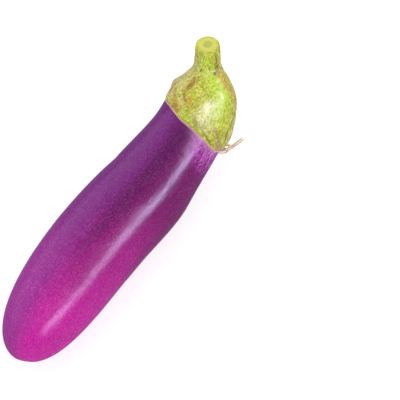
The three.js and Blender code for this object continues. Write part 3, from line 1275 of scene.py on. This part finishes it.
    def cut_rings(self, past: np.ndarray) -> Rings:
        """The rings of the stem's cut face: the sunken pith, the flat and the rounded edge.

        Args:
            past: The points' degrees past the lapped edge.

        Returns:
            The rings, from the middle out.
        """
        form, length = self.form, self.line.length
        edge = float(curve_through(np.array(length), form.outer_profile)) - form.cut_bevel
        pith, floor, bevel = form.pith_radius, form.pith_floor, form.cut_bevel
        rounding = np.radians(self.bevel_steps)
        face = (
            (0.0, form.pith_depth),
            (floor * 0.5, form.pith_depth),
            (floor, form.pith_depth * 0.8),
            ((floor + pith) / 2, form.pith_depth * 0.4),
            (pith, 0.0),
            (pith + self.lip_width, -self.lip_height),
            ((pith + edge) / 2, 0.0),
            (edge, 0.0),
            *((edge + bevel * math.sin(a), bevel * (1 - math.cos(a))) for a in rounding),
        )
        radius, below = np.array(face).T[..., None]
        turn = angle_between(past + form.lapped_edge[0][1], 0)
        push = form.slant_push(radius, turn, np.array(0.0)) - below
        return Rings(np.array(length), turn, radius, push, np.array(-1.0)).full()

    def outer_rings(self, past: np.ndarray) -> Rings:
        """The rings of the outside, closer together towards the rim.

        Args:
            past: The points' degrees past the lapped edge.

        Returns:
            The rings, from the cut to the rim.
        """
        form, length = self.form, self.line.length
        share = (1 - (1 - np.linspace(0, 1, self.along + 1)) ** self.closing)[:, None]
        turn = angle_between(past + curve_through(share, form.lapped_edge), 0)
        from_cut = form.cut_bevel + (length - form.cut_bevel - form.rim(turn)) * share
        distance = length - from_cut
        radius = self.outer_radius(distance, turn, share, angle_between(past, 0))
        return Rings(distance, turn, radius, form.slant_push(radius, turn, from_cut), share).full()

    def inner_rings(self, past: np.ndarray) -> Rings:
        """The rings of the inside, which follow the fruit.

        Args:
            past: The points' degrees past the lapped edge.

        Returns:
            The rings, from the rim to the pole over the fruit's end.
        """
        form, fruit = self.form, self.form.fruit
        step = np.linspace(0, 1, self.inner + 1)[1:, None]
        turn = angle_between(past + form.lapped_edge[-1][1], 0)
        rim = form.rim(turn)
        distance = rim + (fruit.length + form.fit_gap - rim) * np.sin(np.pi / 2 * step)
        radius = fruit.radius(np.minimum(distance - form.fit_gap, fruit.length), turn)
        radius = radius + form.fit_gap + form.tip_lift(turn, distance - rim)
        radius[-1] = 0
        return Rings(distance, turn, radius, np.array(0.0), np.array(2.0)).full()

    def rings(self) -> Rings:
        """Works out every ring of points, from the pith over the outside to the pole inside.

        Returns:
            The rings.
        """
        half = self.form.lap_half_step
        past = half + (360 - 2 * half) * np.linspace(0, 1, self.around)
        parts = self.cut_rings(past), self.outer_rings(past), self.inner_rings(past)
        return Rings(*(np.concatenate(values) for values in zip(*parts)))

    def off_path(self, distance: np.ndarray, turn: np.ndarray, path: Pairs) -> np.ndarray:
        """How far points are from a path over the surface.

        Args:
            distance: The points' distances along the centreline.
            turn: Their turns.
            path: The path's corners as (distance, turn).

        Returns:
            The shortest way over the surface to the path, in millimetres.
        """
        across = np.radians(curve_through(distance, self.form.outer_profile))
        nearest = np.full(distance.shape, np.inf)
        for (s0, a0), (s1, a1) in zip(path, path[1:]):
            middle = (a0 + a1) / 2
            x = angle_between(turn, middle) * across
            x0, x1 = (a0 - middle) * across, (a1 - middle) * across
            dx, ds = x1 - x0, s1 - s0
            p = np.clip(((x - x0) * dx + (distance - s0) * ds) / (dx * dx + ds * ds), 0, 1)
            nearest = np.minimum(nearest, np.hypot(x - x0 - p * dx, distance - s0 - p * ds))
        return nearest

    def outer_radius(
        self, distance: np.ndarray, turn: np.ndarray, share: np.ndarray, past: np.ndarray
    ) -> np.ndarray:
        """The outer face's radius, with its fine relief.

        Args:
            distance: How far along the centreline.
            turn: Degrees round it.
            share: Share of the way from the cut to the rim.
            past: Degrees past the lapped edge.

        Returns:
            The radius.
        """
        form = self.form
        from_rim = distance - form.rim(turn)
        fitted = form.fruit.radius(np.minimum(distance, form.fruit.length), turn)
        wall = fitted + form.fit_gap + form.edge_wall
        full = curve_through(distance, form.outer_profile) + form.relief(distance, turn)
        full = full + form.lap(share, past)
        reach = np.maximum(full, self.least_reach)
        straight = places_round(reach, turn, distance)
        lean = turn - form.sepal_lean * (form.lean_from - distance)
        leaning = places_round(reach, lean, distance / self.wrinkle_length)
        wrinkles = ripple(leaning, size=2.1, seed=1) + 0.5 * ripple(leaning, size=1.1, seed=2)
        lumps = ripple(straight, size=6.5, seed=3)
        on_stem = smooth((distance - form.stem_ribs_from) / form.slant_fade)
        bark = self.bark_height * on_stem * ripple(straight, size=2.4, seed=4)
        full = full + self.wrinkle_height * wrinkles + self.lump_height * lumps + bark
        for width, depth, path in self.creases:
            full = full - depth * swell(self.off_path(distance, turn, path) / width)
        outer = wall + (np.maximum(full, wall) - wall) * smooth(from_rim / form.edge_taper)
        return outer + form.tip_lift(turn, from_rim)

    def build(self) -> bpy.types.Object:
        """Makes the calyx and stem in place of their solid.

        Returns:
            The calyx and stem.
        """
        at = self.rings()
        points = self.line.point(at.distance, at.turn, at.radius, at.push)
        rings, around = points.shape[:2]
        middle = points[1:-1].reshape(-1, 3)
        poles = np.stack([points[0].mean(0), points[-1].mean(0)])
        vertices = np.concatenate([middle, poles]) * MM
        faces = []
        for i in range(rings - 3):
            for j in range(around):
                a, b = i * around + j, i * around + (j + 1) % around
                faces.append((a, a + around, b + around, b))
        last = (rings - 3) * around
        for j in range(around):
            k = (j + 1) % around
            faces.append((len(middle), j, k))
            faces.append((len(middle) + 1, last + k, last + j))
        mesh = bpy.data.meshes.new("calyx_skin")
        mesh.from_pydata(vertices.tolist(), [], faces)
        mesh.materials.append(self.skin.material())
        mesh.shade_smooth()
        mesh.set_sharp_from_angle(angle=math.radians(self.sharp_angle))
        for place, values in self.places(at).items():
            ends = np.stack([values[0].mean(0), values[-1].mean(0)])
            inner = values[1:-1].reshape(-1, *values.shape[2:])
            store(mesh, place, np.concatenate([inner, ends]))
        return show("calyx_and_stem_skin", mesh, Skins.CALYX, "calyx_and_stem")

    def places(self, at: Rings) -> dict[Place, np.ndarray]:
        """Works out what the surface stores: places, marks, painted shade along the creases, the cut and
        where hairs grow.

        Args:
            at: The rings that the surface is made from.

        Returns:
            The values at every point, as rings by points round.
        """
        distance, turn, radius = at.distance, at.turn, at.radius
        on_cut = at.share < 0
        outside = ~on_cut & (at.share <= 1)
        straight = places_round(radius, turn, distance)
        rag = ripple(straight, size=3.0, seed=5) + 0.6 * ripple(straight, size=1.3, seed=6)
        stored: dict[Place, np.ndarray] = {}
        for mark in self.marks:
            off = self.off_path(distance, turn, mark.path) / mark.width
            laid = mark.strength * swell(np.maximum(off + mark.ragged * rag, 0)) * outside
            stored[mark.place] = np.maximum(stored.get(mark.place, 0 * laid), laid)
        pits_and_crease_shade = stored[Place.PIT]
        # painted shade along each crease, laid with the dark pitting
        for width, depth, path in self.creases:
            painted_crease_shade = self.crease_darkness * depth * depth
            pits_and_crease_shade = pits_and_crease_shade + painted_crease_shade * swell(self.off_path(distance, turn, path) / width)
        for spot, spot_turn in self.dimples:
            path = ((spot, spot_turn), (spot + self.dimple_length, spot_turn))
            pits_and_crease_shade = pits_and_crease_shade + swell(self.off_path(distance, turn, path) / self.dimple_radius)
        stored[Place.PIT] = np.clip(pits_and_crease_shade, 0, 1) * outside
        stored[Place.STRAIGHT] = straight
        from_rim = np.where(outside, distance - self.form.rim(turn), 0)
        stored[Place.FROM_RIM] = np.where(on_cut, self.cut_from_rim, from_rim)
        stored[Place.CUT] = on_cut * (1 - smooth((radius - self.cut_edge) / self.cut_fade))
        stored[Place.PITH] = on_cut * (1 - smooth((radius - self.pith_edge) / self.pith_fade))
        grown = smooth((distance - self.hairs_from) / (self.hairs_full - self.hairs_from))
        stored[Place.HAIRY] = outside * grown
        return stored


@dataclass
class StemHairs:
    """Short stiff hairs over the stem and its foot, scattered by a geometry tree."""

    fibre: DryFibre = field(default_factory=DryFibre)
    density: float = 260000.0  # a square metre, where they are thickest
    length: float = 0.9
    thickness: float = 0.16
    sides: int = 5
    lean: float = 0.6
    seed: int = 7
    shortest: float = 0.5
    longest: float = 1.3

    def growth(self) -> Growth:
        """Writes the tree that grows hairs on a surface where it is marked as hairy.

        Returns:
            The tree.
        """
        sizes = {
            "density": self.density,
            "length": self.length * MM,
            "radius": self.thickness / 2 * MM,
            "sides": self.sides,
            "lean": self.lean,
            "seed": self.seed,
        }
        tree = Growth("stem_hairs", self.fibre.material("stem_hair"), sizes)
        size = tree.size
        hairy = tree.node("GeometryNodeInputNamedAttribute", Name=Place.HAIRY.value).outputs["Attribute"]
        thick = size.density * tree.term(hairy)
        roots = tree.node("GeometryNodeDistributePointsOnFaces", Mesh=tree.given["Geometry"])
        tree.fill(roots, Density=thick, Seed=size.seed)
        hair = tree.node("GeometryNodeMeshCone", Vertices=size.sides, Side_Segments=2)
        tree.fill(hair, Radius_Bottom=size.radius, Depth=size.length)
        sideways = self.random(tree, "FLOAT_VECTOR", (-1.0, -1.0, -1.0), (1.0, 1.0, 1.0))
        way = tree.vector("ADD", roots.outputs["Normal"], tree.vector("SCALE", sideways, size.lean))
        turned = tree.node("FunctionNodeAlignRotationToVector", Vector=way)
        turned.axis = "Z"
        set_on = tree.node("GeometryNodeInstanceOnPoints", Points=roots.outputs["Points"])
        scale = self.random(tree, "FLOAT", self.shortest, self.longest)
        tree.fill(set_on, Instance=hair.outputs["Mesh"], Rotation=turned.outputs["Rotation"], Scale=scale)
        tree.dress(set_on.outputs[0])
        return tree

    def random(self, tree: Growth, kind: str, low: object, high: object) -> bpy.types.NodeSocket:
        """A random value for each hair.

        Args:
            tree: The tree being written.
            kind: FLOAT or FLOAT_VECTOR.
            low: The smallest value.
            high: The largest value.

        Returns:
            The value's socket.
        """
        node = tree.node("FunctionNodeRandomValue")
        node.data_type = kind
        ends = [s for s in node.inputs if s.name in ("Min", "Max") and s.enabled]
        tree.feed(ends[0], low)
        tree.feed(ends[1], high)
        tree.fill(node, Seed=tree.size.seed)
        return next(s for s in node.outputs if s.enabled)

    def build(self, base: bpy.types.Mesh) -> bpy.types.Object:
        """Makes the hairs on the calyx's mesh.

        Args:
            base: The calyx and stem's finished mesh.

        Returns:
            The hairs, as one piece.
        """
        return show("stem_hairs", self.growth().mesh("stem_hairs", base), Skins.CALYX)


@dataclass
class DryWisps:
    """Thin dry fibres at the widest sepal's tip, as tubes along paths by a geometry tree."""

    fibre: DryFibre = field(default_factory=DryFibre)
    thickness: float = 0.72
    sides: int = 8
    steps: int = 40
    taper: float = 0.7
    # Each fibre's corners in millimetres.
    paths: tuple[tuple[Triple, ...], ...] = (
        (
            (86, -21.5, 29),
            (84.5, -24, 29.5),
            (86, -27, 29),
            (90, -30, 28),
            (94.5, -31.5, 27.5),
            (100.5, -34, 30),
        ),
        ((89.5, -23, 28), (88.5, -27, 29), (92, -30, 28.5), (96.5, -31.5, 29.5), (100, -33, 31.5)),
        ((87, -22.5, 29), (86.5, -26.5, 30), (90.5, -29.5, 29.5), (95, -31, 30), (97.5, -32.5, 32)),
        ((87.5, -23, 28), (88, -26, 31), (90.5, -28, 31), (92.5, -29.5, 30)),
        ((85, -22, 28), (84, -26, 29), (86, -28.5, 28), (89, -30, 27.5)),
        ((88.5, -23, 28), (90, -25.5, 31), (91, -28, 31), (90.5, -29.5, 30)),
        ((85.5, -21, 28), (84, -24, 28.5), (86.5, -26, 28), (89, -28, 28)),
    )

    def growth(self) -> Growth:
        """Writes the tree that gives paths a tapering round section.

        Returns:
            The tree.
        """
        sizes = {
            "radius": self.thickness / 2 * MM,
            "sides": self.sides,
            "steps": self.steps,
            "taper": self.taper,
        }
        tree = Growth("dry_fibres", self.fibre.material("dry_fibre"), sizes)
        path = tree.node("GeometryNodeMeshToCurve", Mesh=tree.given["Geometry"])
        rounded = tree.node("GeometryNodeCurveSplineType", Curve=path.outputs[0])
        rounded.spline_type = "CATMULL_ROM"
        even = tree.node("GeometryNodeResampleCurve", Curve=rounded.outputs[0], Count=tree.size.steps)
        along = tree.term(tree.node("GeometryNodeSplineParameter").outputs["Factor"])
        thinned = 1.0 - along * along * tree.size.taper
        sized = tree.node("GeometryNodeSetCurveRadius", Curve=even.outputs[0], Radius=thinned)
        section = tree.node("GeometryNodeCurvePrimitiveCircle", Resolution=tree.size.sides)
        tree.fill(section, Radius=tree.size.radius)
        tube = tree.node("GeometryNodeCurveToMesh", Curve=sized.outputs[0])
        tree.fill(tube, Profile_Curve=section.outputs[0], Fill_Caps=True)
        tree.dress(tree.node("GeometryNodeSetShadeSmooth", Geometry=tube.outputs[0]).outputs[0])
        return tree

    def build(self) -> bpy.types.Object:
        """Makes the wisps.

        Returns:
            The wisps, as one piece.
        """
        vertices: list[list[float]] = []
        edges: list[tuple[int, int]] = []
        for path in self.paths:
            first = len(vertices)
            vertices += [[c * MM for c in corner] for corner in path]
            edges += [(first + i, first + i + 1) for i in range(len(path) - 1)]
        base = bpy.data.meshes.new("wisp_paths")
        base.from_pydata(vertices, edges, [])
        return show("dry_wisps", self.growth().mesh("dry_wisps", base), Skins.CALYX)


# --- Studio -----------------------------------------------------------------------------------------


WARM: Triple = (1.0, 0.98, 0.95)


class Reach(Enum):
    """What a light is for."""

    GLOSS = "mirrored in glossy skin"
    SPREAD = "lights surfaces evenly"


@dataclass(frozen=True)
class Softbox:
    """A long soft light between two places.

    A place in the studio is metres to the camera's right, level away from the camera and up.
    """

    name: str
    start: Triple
    end: Triple
    width: float
    watts: float
    colour: Triple
    reach: Reach = Reach.GLOSS


@dataclass(frozen=True)
class Spot:
    """A small round spotlight, which makes a small highlight."""

    name: str
    middle: Triple
    aim: Triple
    watts: float
    cone: float
    radius: float = 0.007


@dataclass(frozen=True)
class Pane:
    """A small square light, whose narrow beam falls on one place of the object only."""

    name: str
    middle: Triple
    aim: Triple
    watts: float
    side: float = 0.1
    spread: float = 5.0
    colour: Triple = (0.74, 0.64, 1.0)


@dataclass(frozen=True)
class Studio:
    """A pale floor, soft light and the camera."""

    azimuth: float = -55.5
    elevation: float = 65.0
    target: Triple = (0.0493, -0.0352, 0.03)
    distance: float = 1.0
    frame_pixels: float = 400.0
    focal_pixels: float = 1591.4
    floor_side: float = 6.0
    floor_drop: float = 0.0001
    floor_colour: Colour = (0.5, 0.5, 0.5, 1)
    floor_glow: float = 1.4
    floor_mirrored: Colour = (0.22, 0.19, 0.27, 1)
    sky_colour: Colour = (0.93, 0.80, 1.0, 1)
    zenith: float = 0.15
    horizon: float = 1.0
    low: float = 0.5
    high: float = 0.95
    window: Triple = (-0.5, 0.85, 0.0)  # the side on which the sky is brighter
    window_share: float = 0.85
    lights: tuple[Softbox, ...] = (
        Softbox("strip_neck", (1.65, 0.05, 0.95), (1.506, -0.42, 0.95), 0.13, 13.0, (0.64, 0.62, 1.0)),
        Softbox("strip_belly", (1.506, -0.42, 0.95), (1.45, -0.6, 0.95), 0.13, 3.1, (0.68, 0.62, 1.0)),
        Softbox("strip_body", (1.45, -0.6, 0.95), (1.1, -0.83, 0.97), 0.12, 3.3, (0.76, 0.62, 1.0)),
        Softbox("strip_tip", (1.1, -0.83, 0.97), (0.4, -1.3, 1.0), 0.12, 10.5, (0.76, 0.62, 1.0)),
        Softbox("key", (1.6, 0.1, 1.3), (0.6, -1.2, 1.3), 0.8, 10.0, WARM, Reach.SPREAD),
        Softbox("overhead", (-0.2, 1.2, 1.6), (-0.2, -1.2, 1.6), 2.2, 17.0, WARM, Reach.SPREAD),
    )
    panes: tuple[Pane, ...] = (
        Pane("rim_pane_upper", (0.40, -0.40, 0.95), (0.051, 0.047, 0.053), 0.0033),
        Pane("rim_pane_middle", (0.66, -0.31, 0.95), (0.051, 0.047, 0.053), 0.0033),
        Pane("rim_pane_lower", (0.95, -0.26, 0.95), (0.051, 0.047, 0.053), 0.0033),
    )
    spots: tuple[Spot, ...] = (
        Spot("calyx_spot", (0.146, -0.039, 0.275), (0.0608, 0.0692, 0.0662), 15.0, 4.2),
        Spot("calyx_glow", (0.267, 0.126, 0.212), (0.0694, 0.0800, 0.0670), 2.8, 4.6),
    )

    def ways(self) -> tuple[Vector, Vector, Vector]:
        """The studio's axes, in the part's frame.

        Returns:
            The camera's right, the level way away from it, and up.
        """
        a = math.radians(self.azimuth)
        away = Vector((-math.sin(a), math.cos(a), 0))
        return Vector((math.cos(a), math.sin(a), 0)), away, Vector(WORLD_UP)

    def at(self, place: Triple) -> Vector:
        """A place given as metres to the camera's right, away and up, in the part's frame."""
        return sum((way * k for way, k in zip(self.ways(), place)), Vector())

    def build(self) -> None:
        """Makes the floor, the lights and the camera."""
        self.floor()
        self.sky()
        for box in self.lights:
            self.softbox(box)
        for pane in self.panes:
            self.pane(pane)
        for spot in self.spots:
            self.spot(spot)
        self.camera()

    def floor(self) -> None:
        """Makes the pale floor, just under the object."""
        half, low = self.floor_side / 2, -self.floor_drop
        mesh = bpy.data.meshes.new("floor")
        corners = [(-half, -half, low), (half, -half, low), (half, half, low), (-half, half, low)]
        mesh.from_pydata(corners, [], [(0, 1, 2, 3)])
        finish = Finish("floor_paper")
        at = finish.sketch.node("ShaderNodeTexCoord").outputs["Object"]
        cloud = finish.sketch.number_noise(at, 1.5, 2.0)
        darker = tuple(c * 0.98 for c in self.floor_colour[:3]) + (1.0,)
        finish.set("Base Color", finish.sketch.mixed(cloud, self.floor_colour, darker))
        finish.set("Roughness", 0.9)
        finish.set("Specular IOR Level", 0.1)
        finish.set("Emission Color", self.floor_colour)
        finish.set("Emission Strength", self.floor_glow)
        seen = finish.sketch.node("ShaderNodeLightPath").outputs["Is Glossy Ray"]
        dim = finish.sketch.node("ShaderNodeEmission", Color=self.floor_mirrored)
        either = finish.sketch.node("ShaderNodeMixShader", Fac=seen)
        finish.sketch.feed(either.inputs[1], finish.shader.outputs[0])
        finish.sketch.feed(either.inputs[2], dim.outputs[0])
        out = finish.material.node_tree.nodes["Material Output"]
        finish.sketch.feed(out.inputs["Surface"], either.outputs[0])
        mesh.materials.append(finish.material)
        piece = bpy.data.objects.new("floor", mesh)
        bpy.context.scene.collection.objects.link(piece)

    def sky(self) -> None:
        """Makes the soft light from all round: dimmer overhead, brighter towards the horizon."""
        world = bpy.data.worlds.new("studio")
        world.use_nodes = True
        sketch = Sketch(world.node_tree)
        way = sketch.node("ShaderNodeTexCoord").outputs["Generated"]
        up = sketch.term(sketch.node("ShaderNodeSeparateXYZ", Vector=way).outputs["Z"])
        raised = ((up - self.low) / (self.high - self.low)).smooth()
        towards = self.at(self.window)
        facing = sketch.tree.nodes.new("ShaderNodeVectorMath")
        facing.operation = "DOT_PRODUCT"
        sketch.feed(facing.inputs[0], way)
        sketch.feed(facing.inputs[1], towards)
        lit = (sketch.term(facing.outputs["Value"]) * 0.5 + 0.5).smooth()
        horizon = lit * (self.horizon * self.window_share) + self.horizon * (1 - self.window_share)
        level = raised * (self.zenith - horizon) + horizon
        sketch.feed(world.node_tree.nodes["Background"].inputs["Strength"], level)
        world.node_tree.nodes["Background"].inputs["Color"].default_value = self.sky_colour
        bpy.context.scene.world = world

    def softbox(self, box: Softbox) -> None:
        """Makes one long soft light that faces the object.

        Args:
            box: Its place, size, power and reach.
        """
        start, end = self.at(box.start), self.at(box.end)
        data = bpy.data.lights.new(box.name, "AREA")
        data.shape = "RECTANGLE"
        data.size = (end - start).length
        data.size_y = box.width
        data.energy = box.watts
        data.color = box.colour
        middle = (start + end) / 2
        along = (end - start).normalized()
        back = (middle - along * middle.dot(along)).normalized()
        self.hang(data, middle, along, back, box.reach)

    def pane(self, pane: Pane) -> None:
        """Makes one small light with a narrow beam.

        Args:
            pane: Its place, aim, size and power.
        """
        data = bpy.data.lights.new(pane.name, "AREA")
        data.shape = "SQUARE"
        data.size = pane.side
        data.energy = pane.watts
        data.color = pane.colour
        data.spread = math.radians(pane.spread)
        self.aim(data, pane)

    def spot(self, spot: Spot) -> None:
        """Makes one small round spotlight.

        Args:
            spot: Its place, aim, size and power.
        """
        data = bpy.data.lights.new(spot.name, "SPOT")
        data.spot_size = math.radians(spot.cone)
        data.spot_blend = 1.0
        data.shadow_soft_size = spot.radius
        data.energy = spot.watts
        self.aim(data, spot)

    def aim(self, data: bpy.types.Light, light: Pane | Spot) -> None:
        """Hangs a small light so that it faces what it is aimed at.

        Args:
            data: The light.
            light: Its place and aim.
        """
        middle = self.at(light.middle)
        back = (middle - self.at(light.aim)).normalized()
        along = back.cross(Vector(WORLD_UP)).normalized()
        self.hang(data, middle, along, back, Reach.GLOSS)

    def hang(
        self, data: bpy.types.Light, middle: Vector, along: Vector, back: Vector, reach: Reach
    ) -> None:
        """Puts a light in the scene.

        Args:
            data: The light.
            middle: Where its middle is.
            along: The way of its long side.
            back: The way from what it lights to it.
            reach: What of it is seen.
        """
        lamp = bpy.data.objects.new(data.name, data)
        turned = Matrix((along, back.cross(along), back)).transposed().to_4x4()
        lamp.matrix_world = Matrix.Translation(middle) @ turned
        lamp.visible_glossy = reach is Reach.GLOSS
        lamp.visible_diffuse = reach is Reach.SPREAD
        bpy.context.scene.collection.objects.link(lamp)

    def camera(self) -> None:
        """Makes the camera and the plain view transform."""
        a, e = math.radians(self.azimuth), math.radians(self.elevation)
        back = Vector((math.sin(a) * math.cos(e), -math.cos(a) * math.cos(e), math.sin(e)))
        data = bpy.data.cameras.new("camera")
        data.lens = data.sensor_width * self.focal_pixels / self.frame_pixels
        camera = bpy.data.objects.new("camera", data)
        camera.rotation_mode = "QUATERNION"
        camera.location = Vector(self.target) + back * self.distance
        camera.rotation_quaternion = (-back).to_track_quat("-Z", "Y")
        bpy.context.scene.collection.objects.link(camera)
        bpy.context.scene.camera = camera
        bpy.context.scene.view_settings.view_transform = "Standard"


def main() -> None:
    """Builds every piece and the studio, in order."""
    logging.basicConfig(level=logging.INFO, format="%(name)s %(message)s")
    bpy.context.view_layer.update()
    line = Centreline()
    form = FruitForm()
    calyx = CalyxForm(line, form)
    Studio().build()
    Fruit(line, form, calyx).build()
    stem = CalyxAndStem(line, calyx).build()
    StemHairs().build(stem.data)
    DryWisps().build()


if __name__ == "__main__":
    main()
